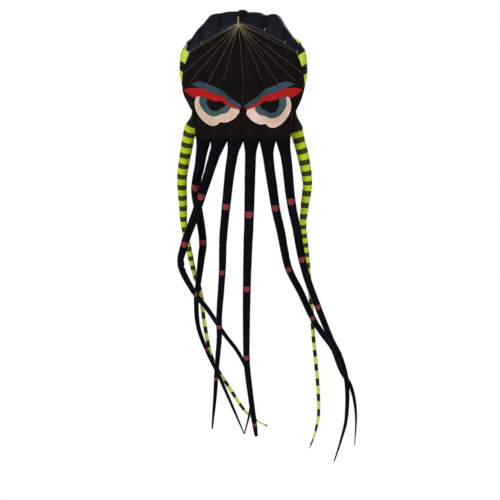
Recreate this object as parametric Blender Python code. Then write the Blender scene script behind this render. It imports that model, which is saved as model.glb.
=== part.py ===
"""Octopus kite: a soft, air-filled head with eight legs and a fan of bridle lines.

Metres, +Z up. The face looks along -Y and the legs hang down. The origin is the eye of the
tow loop, where the flying line is tied. Each leg is three lengths of hollow fabric tube, and
the object origin of each length is on its hinge.
"""

import math

import bmesh
import bpy
from mathutils import Matrix, Vector
from mathutils.geometry import interpolate_bezier

# Driving dimensions
FABRIC = 0.002            # thickness that stands for ripstop and its seams
SEAM_GAP = 0.001          # clearance between two panels that are sewn together
FACE_Y = 1.10             # the belly's plane, behind the tow loop
HEAD_BOTTOM = -1.45       # where the head ends and the black legs begin
HEAD_THICKNESS = 0.44     # at the thickest place of the middle cells
TAIL_THICKNESS = 0.15     # at the bottom edge, where each cell opens into its leg
FRONT_BULGE = 0.018       # how far a cell swells between its ribs, on the belly
BACK_BULGE = 0.040        # and on the back and nose
RIB_TOP_X = (0.0, 0.275, 0.54, 0.69)
RIB_BOTTOM_X = (0.0, 0.195, 0.395, 0.565)
TOP_Z = (0.095, 0.075, 0.040, 0.045, -0.120, -0.215, -0.290)   # every half cell from the centre
MESH_Z = (-0.070, -0.185, -0.320, -0.430)                      # lower edge of the nose at each rib
SIDE_GAP = 0.005          # between the head's edge and its side cell
MESH_HEIGHT = 0.035       # the strip of mesh that lets the wind in
NOSE_BACK_EDGE = 0.23     # where the nose skin ends on the back, as the square root of t
RIB_GAP = 0.006           # from a skin's outer face to the rib inside it
BELLY_ROWS, NOSE_ROWS, BACK_ROWS = 9, 6, 10
RIB_THICKNESS = 0.0015
LINE_RADIUS = 0.00125
LOOP_RADIUS = 0.0025
LEG_Y = 1.18
LANE = 0.105              # the legs fan out in depth by this much each
LANE_DEPTH = 1.5          # the drop over which a leg reaches its lane
KNEE_GAP = 0.028          # bare length at each hinge, so that the tube ends clear each other
LEG_SIDES = 8

COLOURS = {
    "black_ripstop": (0.008, 0.008, 0.011),
    "belly_ripstop": (0.011, 0.009, 0.008),
    "neon_ripstop": (0.47, 0.60, 0.02),
    "red_ripstop": (0.55, 0.015, 0.010),
    "blue_ripstop": (0.045, 0.12, 0.18),
    "cream_ripstop": (0.68, 0.48, 0.36),
    "teal_ripstop": (0.065, 0.165, 0.195),
    "intake_mesh": (0.30, 0.30, 0.30),
    "bridle_cord": (0.42, 0.28, 0.18),
    "tow_cord": (0.80, 0.62, 0.30),
}


HEAD_COLUMNS = [i / 3 for i in range(-9, 10)]   # three columns of faces to a cell


def clear_scene():
    for old in list(bpy.data.objects):
        bpy.data.objects.remove(old, do_unlink=True)


def make_materials():
    made = {}
    for name, colour in COLOURS.items():
        material = bpy.data.materials.new(name)
        material.use_nodes = True
        shader = material.node_tree.nodes["Principled BSDF"]
        shader.inputs["Base Color"].default_value = (*colour, 1.0)
        shader.inputs["Roughness"].default_value = 0.55
        shader.inputs["Metallic"].default_value = 0.0
        made[name] = material
    return made


def add_object(name, data, material, location=(0, 0, 0), parent=None):
    made = bpy.data.objects.new(name, data)
    bpy.context.scene.collection.objects.link(made)
    made.location = location
    made.parent = parent
    data.materials.append(material)
    return made


def mesh_from(name, points, faces):
    mesh = bpy.data.meshes.new(name)
    mesh.from_pydata([tuple(point) for point in points], [], faces)
    shape = bmesh.new()
    shape.from_mesh(mesh)
    bmesh.ops.recalc_face_normals(shape, faces=shape.faces)
    shape.to_mesh(mesh)
    shape.free()
    return mesh


def spread(low, high, count):
    return [lerp(low, high, i / (count - 1)) for i in range(count)]


def lerp(a, b, share):
    return a + (b - a) * share


def between(values, place):
    """The value at a fractional place along evenly spaced values."""
    low = min(int(place), len(values) - 2)
    return lerp(values[low], values[low + 1], place - low)


def from_table(table, place):
    """The value at place in a table of (place, value) rows."""
    for (x0, y0), (x1, y1) in zip(table, table[1:]):
        if place <= x1:
            return lerp(y0, y1, max(0.0, (place - x0) / (x1 - x0)))
    return table[-1][1]


# The head: u counts cells from the middle, -3 to 3, and a rib stands at each whole number.
# t is 0 at the nose and 1 at the bottom edge.

def rib_x(u, z):
    share = min(1.0, max(0.0, (0.1 - z) / (0.1 - HEAD_BOTTOM)))
    across = lerp(between(RIB_TOP_X, abs(u)), between(RIB_BOTTOM_X, abs(u)), share)
    return math.copysign(across, u)


def height_at(u, t):
    return lerp(between(TOP_Z, 2 * abs(u)), HEAD_BOTTOM, t)


def place_at(u, z):
    top = between(TOP_Z, 2 * abs(u))
    return (top - z) / (top - HEAD_BOTTOM)


def thickness(u):
    return HEAD_THICKNESS * (1 - 0.043 * u * u)


def swelling(u, t):
    return abs(math.sin(math.pi * u)) * math.sin(math.pi * min(1.0, 0.25 + 0.75 * t))


def front_y(u, t):
    nose = 0.4 * thickness(u)
    near = max(0.0, 1 - t / 0.16)
    return FACE_Y + nose * (1 - math.sqrt(1 - near * near)) - FRONT_BULGE * swelling(u, t)


def back_y(u, t):
    nose = 0.4 * thickness(u)
    if t < 0.38:
        near = 1 - t / 0.38
        depth = lerp(nose, thickness(u), math.sqrt(1 - near * near))
    else:
        share = 0.5 + 0.5 * math.cos(math.pi * (t - 0.38) / 0.62)
        depth = lerp(TAIL_THICKNESS, thickness(u), share)
    return FACE_Y + depth + BACK_BULGE * swelling(u, t)


def front_point(u, t):
    z = height_at(u, t)
    return Vector((rib_x(u, z), front_y(u, t), z))


def back_point(u, t):
    z = height_at(u, t)
    return Vector((rib_x(u, z), back_y(u, t), z))


def wrap_point(u, s):
    """A point of the section's outline: s is below 0 on the belly side, above 0 on the back."""
    return front_point(u, s * s) if s < 0 else back_point(u, s * s)


def panel_mesh(name, columns, rows, point, outward):
    """One sheet of cloth from a grid of points, with its faces turned outward."""
    points = [point(u, v) for v in rows for u in columns]
    wide = len(columns)
    faces = []
    for j in range(len(rows) - 1):
        for i in range(wide - 1):
            corner = j * wide + i
            faces.append((corner, corner + 1, corner + wide + 1))
            faces.append((corner, corner + wide + 1, corner + wide))
    mesh = bpy.data.meshes.new(name)
    mesh.from_pydata([tuple(p) for p in points], [], faces)
    facing = sum((face.normal.dot(outward(face.center)) * face.area for face in mesh.polygons))
    if facing < 0:
        mesh.flip_normals()
    return mesh


def add_cloth(name, mesh, material, thick=FABRIC):
    cloth = add_object(name, mesh, material)
    solid = cloth.modifiers.new("cloth_thickness", "SOLIDIFY")
    solid.thickness = thick
    solid.offset = -1
    solid.use_even_offset = False
    return cloth


def from_head_axis(centre):
    return Vector((0.0, centre.y - (FACE_Y + 0.18), 0.3 * (centre.z + 0.6)))


def mesh_line(u):
    """Where the nose ends and the intake mesh begins, as t."""
    return place_at(u, between(MESH_Z, abs(u)) + MESH_HEIGHT)


def belly_line(u):
    return place_at(u, between(MESH_Z, abs(u)))


def belly_point(u, share):
    return front_point(u, lerp(belly_line(u) + SEAM_GAP, 1.0, share))


def nose_point(u, share):
    return wrap_point(u, lerp(-math.sqrt(mesh_line(u) - SEAM_GAP), NOSE_BACK_EDGE, share))


def back_skin_point(u, share):
    return back_point(u, lerp(NOSE_BACK_EDGE ** 2 + SEAM_GAP, 1.0, share))


def intake_point(u, share):
    return front_point(u, lerp(mesh_line(u) + SEAM_GAP, belly_line(u) - SEAM_GAP, share))


def add_skins(materials):
    skins = (
        ("belly_skin", belly_point, BELLY_ROWS, "belly_ripstop"),
        ("nose_skin", nose_point, NOSE_ROWS, "black_ripstop"),
        ("back_skin", back_skin_point, BACK_ROWS, "black_ripstop"),
    )
    for name, point, rows, slot in skins:
        sheet = panel_mesh(name, HEAD_COLUMNS, spread(0, 1, rows), point, from_head_axis)
        add_cloth(name, sheet, materials[slot])
    for side, ends in (("left", (-3, -0.01)), ("right", (0.01, 3))):
        name = "intake_mesh_" + side
        strip = panel_mesh(name, spread(*ends, 10), (0, 1), intake_point, from_head_axis)
        add_cloth(name, strip, materials["intake_mesh"])


def add_cutter(name, mesh):
    cutter = bpy.data.objects.new(name, mesh)
    bpy.context.scene.collection.objects.link(cutter)
    cutter.hide_render = True
    cutter.display_type = "WIRE"
    return cutter


def rib_outline(u):
    """(y, z) of a rib, down its front, up its back and round its nose, clear of the skins."""
    front = [belly_point(u, share) for share in spread(0, 1, BELLY_ROWS)]
    back = [back_skin_point(u, share) for share in spread(1, 0, BACK_ROWS)]
    nose = [nose_point(u, share) for share in spread(1, 0, NOSE_ROWS)]
    outline = [(p.y + RIB_GAP, p.z) for p in front[:-1]]
    outline.append((front[-1].y + RIB_GAP, front[-1].z + RIB_GAP))
    outline.append((back[0].y - RIB_GAP, back[0].z + RIB_GAP))
    outline += [(p.y - RIB_GAP, p.z) for p in back[1:]]
    heart = Vector((0, FACE_Y + 0.5 * thickness(u), height_at(u, 0.2)))
    for point in nose[1:-1]:
        inward = heart - Vector((0, point.y, point.z))
        inside = point + inward.normalized() * 2.5 * RIB_GAP
        outline.append((inside.y, inside.z))
    return outline


def add_rib(name, u, material, vents):
    half = RIB_THICKNESS / 2
    outline = rib_outline(u)
    count = len(outline)
    points = [(rib_x(u, z) - half, y, z) for y, z in outline]
    points += [(rib_x(u, z) + half, y, z) for y, z in outline]
    faces = [tuple(range(count)), tuple(range(2 * count - 1, count - 1, -1))]
    for i in range(count):
        after = (i + 1) % count
        faces.append((i, after, after + count, i + count))
    rib = add_object(name, mesh_from(name, points, faces), material)

    # Vent holes, so that the wind reaches every cell.
    if not vents:
        return
    shape = bmesh.new()
    for t in vents:
        depth = back_y(u, t) - front_y(u, t)
        z = height_at(u, t)
        middle = Vector((rib_x(u, z), front_y(u, t) + depth / 2, z))
        turn = Matrix.Rotation(math.pi / 2, 4, "Y")
        bmesh.ops.create_cone(
            shape, cap_ends=True, segments=10, radius1=0.27 * depth, radius2=0.27 * depth,
            depth=0.1, matrix=Matrix.Translation(middle) @ turn)
    mesh = bpy.data.meshes.new(name + "_vents")
    shape.to_mesh(mesh)
    shape.free()
    cut = rib.modifiers.new("vent_holes", "BOOLEAN")
    cut.operation = "DIFFERENCE"
    cut.object = add_cutter(name + "_vents", mesh)


def add_ribs(materials):
    names = {0: "rib_centre"}
    for side, sign in (("left", -1), ("right", 1)):
        names[sign] = "rib_inner_" + side
        names[2 * sign] = "rib_outer_" + side
        names[3 * sign] = "side_wall_" + side
    for u, name in names.items():
        vents = () if abs(u) == 3 else (0.20, 0.42, 0.63, 0.80)
        add_rib(name, u, materials["black_ripstop"], vents)


# The side cells are slim crescents outside the third rib: height, half width, half depth and
# the depth of their middle, which runs back towards the root of the striped leg.
SIDE_CELL = (
    (-0.300, 0.022, 0.070, 1.215),
    (-0.370, 0.036, 0.090, 1.210),
    (-0.440, 0.052, 0.100, 1.208),
    (-0.560, 0.062, 0.108, 1.212),
    (-0.690, 0.068, 0.110, 1.216),
    (-0.830, 0.061, 0.100, 1.222),
    (-0.970, 0.047, 0.080, 1.245),
    (-1.060, 0.028, 0.065, 1.285),
    (-1.115, 0.014, 0.045, 1.325),
)


def tube_mesh(name, rings):
    """A hollow tube, open at both ends: rings holds (outer loop, inner loop) down its length."""
    sides = len(rings[0][0])
    points = [p for outer, inner in rings for p in outer + inner]
    faces = []
    for k in range(len(rings) - 1):
        here, below = 2 * sides * k, 2 * sides * (k + 1)
        for i in range(sides):
            j = (i + 1) % sides
            faces.append((here + i, here + j, below + j, below + i))
            faces.append((here + sides + j, here + sides + i, below + sides + i, below + sides + j))
    for end in (0, 2 * sides * (len(rings) - 1)):
        for i in range(sides):
            j = (i + 1) % sides
            faces.append((end + i, end + j, end + sides + j, end + sides + i))
    return mesh_from(name, points, faces)


def ellipse(centre, along, across, a, b, sides):
    turns = [2 * math.pi * i / sides for i in range(sides)]
    return [centre + along * (a * math.cos(v)) + across * (b * math.sin(v)) for v in turns]


def add_side_cells(materials):
    for side, sign in (("left", -1), ("right", 1)):
        rings = []
        for z, a, b, y in SIDE_CELL:
            centre = Vector((sign * (rib_x(3, z) + SIDE_GAP + a), y, z))
            axes = Vector((1, 0, 0)), Vector((0, 1, 0))
            outer = ellipse(centre, *axes, a, b, 12)
            inner = ellipse(centre, *axes, a - FABRIC, b - FABRIC, 12)
            rings.append((outer, inner))
        name = "side_cell_" + side
        add_object(name, tube_mesh(name, rings), materials["neon_ripstop"])


# The face's patches, as (x, z) outlines of its left half. Later layers cover earlier ones.
PATCHES = {
    "eye_white": (1, "cream_ripstop", (
        (-0.560, -0.930), (-0.579, -1.010), (-0.574, -1.076), (-0.550, -1.140),
        (-0.482, -1.230), (-0.402, -1.285), (-0.355, -1.292), (-0.312, -1.282),
        (-0.276, -1.248), (-0.235, -1.253), (-0.186, -1.248), (-0.138, -1.226),
        (-0.096, -1.198), (-0.065, -1.160), (-0.043, -1.125), (-0.045, -1.080),
        (-0.200, -1.010), (-0.380, -0.930),
    )),
    "iris": (2, "teal_ripstop", (
        (-0.515, -0.930), (-0.524, -1.002), (-0.509, -1.055), (-0.476, -1.108),
        (-0.434, -1.151), (-0.386, -1.174), (-0.340, -1.180), (-0.296, -1.169),
        (-0.265, -1.153), (-0.217, -1.145), (-0.175, -1.118), (-0.140, -1.070),
        (-0.230, -1.005), (-0.380, -0.940),
    )),
    "pupil": (3, "black_ripstop", (
        (-0.434, -0.955), (-0.432, -1.024), (-0.413, -1.072), (-0.386, -1.103),
        (-0.355, -1.114), (-0.313, -1.114), (-0.276, -1.092), (-0.234, -1.072),
        (-0.212, -1.040), (-0.250, -1.000), (-0.340, -0.960),
    )),
    "brow_blue": (3, "blue_ripstop", (
        (-0.630, -0.797), (-0.582, -0.773), (-0.518, -0.762), (-0.460, -0.775),
        (-0.402, -0.804), (-0.329, -0.830), (-0.270, -0.854), (-0.217, -0.896),
        (-0.149, -0.960), (-0.065, -1.013), (-0.012, -1.061), (-0.028, -1.080),
        (-0.102, -1.056), (-0.185, -1.020), (-0.235, -0.950), (-0.349, -0.910),
        (-0.470, -0.862), (-0.571, -0.820),
    )),
    "brow_red": (4, "red_ripstop", (
        (-0.716, -0.857), (-0.646, -0.839), (-0.571, -0.839), (-0.509, -0.846),
        (-0.461, -0.854), (-0.413, -0.881), (-0.349, -0.905), (-0.296, -0.923),
        (-0.234, -0.934), (-0.208, -0.976), (-0.170, -1.018), (-0.102, -1.050),
        (-0.028, -1.087), (-0.043, -1.100), (-0.096, -1.085), (-0.170, -1.061),
        (-0.234, -1.018), (-0.254, -0.995), (-0.313, -1.000), (-0.382, -0.986),
        (-0.461, -0.955), (-0.509, -0.936), (-0.566, -0.949), (-0.598, -0.958),
        (-0.677, -0.899),
    )),
}
LAYER = 0.0022            # each layer of patches stands this much in front of the one below
PATCH_THICKNESS = 0.0012
RIGHT_EYE_DROP = 0.024    # the right eye hangs a little lower than the left one
SINKING = ("eye_white", "iris", "pupil")


def add_patches(materials):
    """Each patch is a copy of the belly, moved forward by its layer and cut to its outline."""
    for part, (layer, slot, outline) in PATCHES.items():
        for side, sign in (("left", 1), ("right", -1)):
            drop = RIGHT_EYE_DROP if sign < 0 and part in SINKING else 0.0
            name = part + "_" + side

            def moved(u, share, ahead=layer * LAYER):
                return belly_point(u, share) - Vector((0, ahead, 0))

            cloth = panel_mesh(name, HEAD_COLUMNS, spread(0, 1, BELLY_ROWS), moved, from_head_axis)
            patch = add_cloth(name, cloth, materials[slot], PATCH_THICKNESS)
            count = len(outline)
            points = [(sign * x, FACE_Y - 0.3, z - drop) for x, z in outline]
            points += [(sign * x, FACE_Y + 0.15, z - drop) for x, z in outline]
            faces = [tuple(range(count)), tuple(range(2 * count - 1, count - 1, -1))]
            for i in range(count):
                after = (i + 1) % count
                faces.append((i, after, after + count, i + count))
            cut = patch.modifiers.new("outline", "BOOLEAN")
            cut.operation = "INTERSECT"
            cut.object = add_cutter(name + "_outline", mesh_from(name, points, faces))


# The bridle: each line is one cord, laid double from the knot to the same place on both sides.
KNOT = Vector((0.0, 0.070, -0.093))
KNOT_SIZE = (0.012, 0.012, 0.019)
LINES = (
    ("nose_inner", 1, -0.145),
    ("nose_middle", 2, -0.300),
    ("nose_outer", 3, -0.415),
    ("middle_row", 1, -0.455),
    ("side_cell", None, -0.650),
    ("centre", 0, -0.680),
    ("lower_inner", 1, -0.735),
    ("lower_outer", 3, -0.750),
    ("lower_middle", 2, -0.830),
)
LINE_PITCH = 0.004        # the cords leave the knot this far above one another
LINE_END_GAP = 0.013      # a line stops here, at its loop of tape


def add_cord(name, points, radius, material, closed=False):
    curve = bpy.data.curves.new(name, "CURVE")
    curve.dimensions = "3D"
    curve.bevel_depth = radius
    curve.bevel_resolution = 2
    curve.use_fill_caps = True
    run = curve.splines.new("POLY")
    run.points.add(len(points) - 1)
    for spot, point in zip(run.points, points):
        spot.co = (*point, 1.0)
    run.use_cyclic_u = closed
    return add_object(name, curve, material)


def line_end(u, z):
    if u is None:
        half_width = from_table([(-row[0], row[1]) for row in SIDE_CELL], -z)
        front = from_table([(-row[0], row[3] - row[2]) for row in SIDE_CELL], -z)
        return Vector((rib_x(3, z) + SIDE_GAP + half_width, front - LINE_END_GAP, z))
    return Vector((rib_x(u, z), front_y(u, place_at(u, z)) - LINE_END_GAP, z))


def add_bridle(materials):
    for order, (name, u, z) in enumerate(LINES):
        rise = (len(LINES) / 2 - 0.5 - order) * LINE_PITCH
        start = KNOT + Vector((0, KNOT_SIZE[1] + 2 * LINE_RADIUS, rise))
        end = line_end(u, z)
        right = [start.lerp(end, share) for share in (0, 0.02, 0.5, 1)]
        points = right
        if u != 0:
            left = [Vector((-p.x, p.y, p.z)) for p in right[:0:-1]]
            points = left + right
        add_cord("bridle_line_" + name, points, LINE_RADIUS, materials["bridle_cord"])


def add_tow_point(materials):
    shape = bmesh.new()
    size = Matrix.Diagonal((*KNOT_SIZE, 1.0))
    bmesh.ops.create_uvsphere(shape, u_segments=12, v_segments=8, radius=1.0, matrix=size)
    mesh = bpy.data.meshes.new("bridle_knot")
    shape.to_mesh(mesh)
    shape.free()
    add_object("bridle_knot", mesh, materials["tow_cord"], KNOT)

    # The tow loop runs from the knot to its eye at the origin, as a slim closed ring.
    half_width = 0.0055
    reach = -KNOT * (1 - 0.024 / KNOT.length)
    along = reach.normalized()
    side = Vector((1, 0, 0))
    low = -reach
    high = along * (LOOP_RADIUS - half_width)
    ring = []
    for i in range(7):
        v = math.pi * i / 6
        ring.append(high + side * (half_width * math.cos(v)) + along * (half_width * math.sin(v)))
    for i in range(7):
        v = math.pi + math.pi * i / 6
        turn = side * (half_width * math.cos(v)) + along * (half_width * math.sin(v))
        ring.append(low + along * (half_width + LOOP_RADIUS) + turn)
    add_cord("tow_loop", ring, LOOP_RADIUS, materials["tow_cord"], closed=True)


# Each leg: root depth, lane, thickness profile, knee and ankle (as route points), and its route
# as (x, z) places that the smooth centre line passes through, from the head to the tip.
BLACK_RADIUS = ((0, 0.080), (0.03, 0.069), (0.11, 0.060), (0.22, 0.054), (0.43, 0.0435),
                (0.68, 0.033), (0.90, 0.022), (1, 0.010))
MIDDLE_RADIUS = ((0, 0.080), (0.03, 0.070), (0.11, 0.065), (0.22, 0.061), (0.43, 0.051),
                 (0.68, 0.041), (0.90, 0.033), (0.97, 0.028), (1, 0.020))
CROSSED_RADIUS = ((0, 0.080), (0.03, 0.069), (0.11, 0.059), (0.22, 0.051), (0.36, 0.046),
                  (0.50, 0.033), (0.66, 0.0255), (0.90, 0.018), (1, 0.008))
STRIPED_RADIUS = ((0, 0.036), (0.028, 0.062), (0.055, 0.073), (0.10, 0.072), (0.20, 0.061),
                  (0.33, 0.042), (0.50, 0.027), (0.62, 0.020), (0.90, 0.016), (1, 0.007))
SIDE_LEG_Y = 1.375
LEGS = {
    "striped_leg_left": (SIDE_LEG_Y, 3.5, STRIPED_RADIUS, 6, 10, (
        (-0.628, -1.150), (-0.660, -1.355), (-0.725, -1.705), (-0.755, -1.945),
        (-0.745, -2.255), (-0.730, -2.495), (-0.665, -2.830), (-0.610, -3.060),
        (-0.535, -3.300), (-0.490, -3.650), (-0.420, -4.010), (-0.335, -4.210),
        (-0.205, -4.415), (-0.010, -4.705), (0.145, -4.835), (0.270, -4.900))),
    "black_leg_1": (LEG_Y, 2.5, CROSSED_RADIUS, 6, 10, (
        (-0.485, -1.475), (-0.525, -1.740), (-0.575, -1.990), (-0.580, -2.135),
        (-0.535, -2.400), (-0.500, -2.690), (-0.520, -2.880), (-0.555, -3.170),
        (-0.580, -3.400), (-0.557, -3.705), (-0.450, -4.000), (-0.325, -4.260),
        (-0.180, -4.585), (-0.005, -4.990))),
    "black_leg_2": (LEG_Y, -0.5, CROSSED_RADIUS, 5, 9, (
        (-0.297, -1.475), (-0.395, -1.800), (-0.490, -2.100), (-0.600, -2.425),
        (-0.705, -2.715), (-0.745, -2.975), (-0.600, -3.275), (-0.420, -3.505),
        (-0.235, -3.780), (-0.055, -4.020), (0.065, -4.285), (0.095, -4.585),
        (0.070, -4.775), (0.015, -4.990))),
    "black_leg_3": (LEG_Y, -3.5, BLACK_RADIUS, 4, 7, (
        (-0.103, -1.475), (-0.155, -1.850), (-0.195, -2.280), (-0.225, -2.665),
        (-0.235, -3.060), (-0.270, -3.565), (-0.270, -3.840), (-0.300, -4.200),
        (-0.320, -4.525), (-0.355, -4.925))),
    "black_leg_4": (LEG_Y, -2.5, MIDDLE_RADIUS, 3, 6, (
        (0.090, -1.475), (0.085, -1.945), (0.080, -2.370), (0.065, -2.845),
        (0.055, -3.255), (0.050, -3.745), (0.055, -4.130), (0.100, -4.525),
        (0.150, -4.885), (0.170, -5.015))),
    "black_leg_5": (LEG_Y, 0.5, BLACK_RADIUS, 6, 10, (
        (0.283, -1.475), (0.310, -1.765), (0.350, -2.040), (0.390, -2.305),
        (0.445, -2.545), (0.490, -2.785), (0.550, -3.025), (0.685, -3.290),
        (0.830, -3.600), (0.925, -3.755), (1.075, -3.970), (1.175, -4.230),
        (1.295, -4.440), (1.350, -4.750), (1.335, -5.125))),
    "black_leg_6": (LEG_Y, -1.5, BLACK_RADIUS, 4, 7, (
        (0.485, -1.475), (0.535, -1.825), (0.580, -2.210), (0.650, -2.545),
        (0.715, -2.905), (0.795, -3.180), (0.905, -3.470), (1.060, -3.850),
        (1.170, -4.070), (1.250, -4.380), (1.245, -4.790), (1.180, -5.065),
        (1.100, -5.315))),
    "striped_leg_right": (SIDE_LEG_Y, 1.5, STRIPED_RADIUS, 6, 10, (
        (0.628, -1.150), (0.645, -1.390), (0.720, -1.705), (0.760, -1.990),
        (0.730, -2.255), (0.710, -2.495), (0.745, -2.785), (0.775, -3.085),
        (0.810, -3.445), (0.830, -3.790), (0.860, -4.105), (0.890, -4.460),
        (0.895, -4.765), (0.845, -5.010), (0.785, -5.165))),
}
SMOOTHING = 8             # short straight runs between two places of a route


def leg_centre_line(root_y, lane, route):
    """The smooth centre line, SMOOTHING points for each stretch of the route."""
    places = []
    for x, z in route:
        share = math.sin(math.pi / 2 * min(1.0, (route[0][1] - z) / LANE_DEPTH))
        places.append(Vector((x, lerp(root_y, LEG_Y + lane * LANE, share), z)))
    line = []
    for i in range(len(places) - 1):
        before = places[max(i - 1, 0)]
        a, b = places[i], places[i + 1]
        after = places[min(i + 2, len(places) - 1)]
        run = interpolate_bezier(a, a + (b - before) / 6, b - (after - a) / 6, b, SMOOTHING + 1)
        line += run[:-1]
    return line + [places[-1]]


def along_line(line, distances, distance):
    """(point, direction) at a distance along the centre line."""
    for i in range(len(line) - 1):
        if distance <= distances[i + 1] or i == len(line) - 2:
            share = (distance - distances[i]) / (distances[i + 1] - distances[i])
            before = line[max(i - 1, 0)]
            after = line[min(i + 2, len(line) - 1)]
            return line[i].lerp(line[i + 1], share), (after - before).normalized()


def leg_ring(centre, direction, radius):
    side = direction.cross(Vector((0, 1, 0))).normalized()
    depth = side.cross(direction)
    wall = min(FABRIC, 0.6 * radius)
    outer = ellipse(centre, side, depth, radius, radius, LEG_SIDES)
    inner = ellipse(centre, side, depth, radius - wall, radius - wall, LEG_SIDES)
    return outer, inner


def add_leg(name, root_y, lane, profile, knee, ankle, route, material):
    line = leg_centre_line(root_y, lane, route)
    distances = [0.0]
    for a, b in zip(line, line[1:]):
        distances.append(distances[-1] + (b - a).length)
    length = distances[-1]
    stops = [0.0, distances[knee * SMOOTHING], distances[ankle * SMOOTHING], length]
    parent = None
    hinge = Vector((0, 0, 0))
    for k, part in enumerate(("upper", "middle", "tip")):
        top, bottom = stops[k] + KNEE_GAP / 2, stops[k + 1] - KNEE_GAP / 2
        pivot = bpy.data.objects.new(name + "_" + part + "_hinge", None)
        bpy.context.scene.collection.objects.link(pivot)
        place = along_line(line, distances, stops[k])[0]
        pivot.location = place - hinge
        pivot.parent = parent
        rings = []
        for distance in spread(top, bottom, 8 if part == "upper" else 6):
            centre, direction = along_line(line, distances, distance)
            radius = from_table(profile, distance / length)
            rings.append(leg_ring(centre - place, direction, radius))
        piece = name + "_" + part
        add_object(piece, tube_mesh(piece, rings), material, (0, 0, 0), pivot)
        parent, hinge = pivot, place


def add_legs(materials):
    for name, (root_y, lane, profile, knee, ankle, route) in LEGS.items():
        slot = "neon_ripstop" if name.startswith("striped") else "black_ripstop"
        add_leg(name, root_y, lane, profile, knee, ankle, route, materials[slot])


def main():
    clear_scene()
    materials = make_materials()
    add_skins(materials)
    add_ribs(materials)
    add_side_cells(materials)
    add_patches(materials)
    add_bridle(materials)
    add_tow_point(materials)
    add_legs(materials)


main()
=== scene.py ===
"""Octopus kite: the cloth, cords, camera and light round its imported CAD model.

Metres, +Z up, in the frame of the model: the origin is the eye of the tow loop, the face looks
along -Y and the legs hang down. The head is described by u, which counts cells from the middle
(-3 to 3, with a rib at each whole number), and t, which is 0 at the nose and 1 at the bottom.
"""

from bisect import bisect_left
from itertools import accumulate
from math import copysign, cos, exp, pi, radians, sin, sqrt

import bpy
from mathutils import Matrix, Vector
from mathutils.bvhtree import BVHTree
from mathutils.geometry import delaunay_2d_cdt, interpolate_bezier
from mathutils.noise import noise


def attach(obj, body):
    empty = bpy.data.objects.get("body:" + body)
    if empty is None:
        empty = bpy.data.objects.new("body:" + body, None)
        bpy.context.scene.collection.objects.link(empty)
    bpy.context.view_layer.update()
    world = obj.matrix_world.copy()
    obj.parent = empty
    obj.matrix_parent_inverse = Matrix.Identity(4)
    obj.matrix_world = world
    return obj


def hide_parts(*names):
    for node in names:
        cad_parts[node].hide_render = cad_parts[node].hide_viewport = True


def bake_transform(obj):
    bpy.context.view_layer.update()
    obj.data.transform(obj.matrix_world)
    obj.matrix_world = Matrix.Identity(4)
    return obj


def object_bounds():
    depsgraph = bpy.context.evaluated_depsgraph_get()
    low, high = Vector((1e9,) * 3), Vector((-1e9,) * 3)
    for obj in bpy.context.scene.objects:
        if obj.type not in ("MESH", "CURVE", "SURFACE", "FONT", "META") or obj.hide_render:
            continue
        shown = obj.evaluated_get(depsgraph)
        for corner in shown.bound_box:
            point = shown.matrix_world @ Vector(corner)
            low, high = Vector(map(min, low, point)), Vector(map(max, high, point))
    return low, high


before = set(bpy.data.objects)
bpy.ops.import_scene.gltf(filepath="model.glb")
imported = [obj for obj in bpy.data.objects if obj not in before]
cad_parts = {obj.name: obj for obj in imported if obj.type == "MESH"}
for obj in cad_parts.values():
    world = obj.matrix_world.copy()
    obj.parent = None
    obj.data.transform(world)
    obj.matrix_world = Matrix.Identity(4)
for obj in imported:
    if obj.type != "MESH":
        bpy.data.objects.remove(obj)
CAD_BOX = [list(corner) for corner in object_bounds()]


# ---------------------------------------------------------------- small helpers

def milli(*rows):
    """Rows of numbers that are written in thousandths."""
    return [tuple(value / 1000 for value in row) for row in rows]


def lerp(a, b, share):
    return a + (b - a) * share


def clamp(value, low=0.0, high=1.0):
    return min(high, max(low, value))


def smooth(share):
    share = clamp(share)
    return share * share * (3 - 2 * share)


def spread(low, high, count):
    return [lerp(low, high, i / (count - 1)) for i in range(count)]


def circle(count, part=2 * pi):
    return [part * i / count for i in range(count)]


def between(values, place):
    """The value at a fractional place along evenly spaced values."""
    low = min(int(place), len(values) - 2)
    return lerp(values[low], values[low + 1], place - low)


def from_table(table, place):
    """The value at place in a table of (place, value) rows."""
    for (x0, y0), (x1, y1) in zip(table, table[1:]):
        if place <= x1:
            return lerp(y0, y1, max(0.0, (place - x0) / (x1 - x0)))
    return table[-1][1]


def from_smooth_table(table, place):
    """The value at place on a smooth curve through a table of (place, value) rows."""
    last = len(table) - 1
    i = next((i for i in range(last) if place <= table[i + 1][0]), last - 1)
    (x0, y0), (x1, y1) = table[i], table[i + 1]
    before, after = table[max(i - 1, 0)], table[min(i + 2, last)]
    share = clamp((place - x0) / (x1 - x0))
    slope0 = (y1 - before[1]) / (x1 - before[0]) * (x1 - x0)
    slope1 = (after[1] - y0) / (after[0] - x0) * (x1 - x0)
    s2, s3 = share * share, share ** 3
    return ((2 * s3 - 3 * s2 + 1) * y0 + (s3 - 2 * s2 + share) * slope0
            + (3 * s2 - 2 * s3) * y1 + (s3 - s2) * slope1)


def bezier(before, a, b, after, steps):
    """Points from a towards b, on the curve that comes from before and goes on to after."""
    run = interpolate_bezier(a, a + (b - before) / 6, b - (after - a) / 6, b, steps + 1)
    return run[:-1]


def link(name, data):
    made = bpy.data.objects.new(name, data)
    bpy.context.scene.collection.objects.link(made)
    return made


# ---------------------------------------------------------------- camera and light

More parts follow.
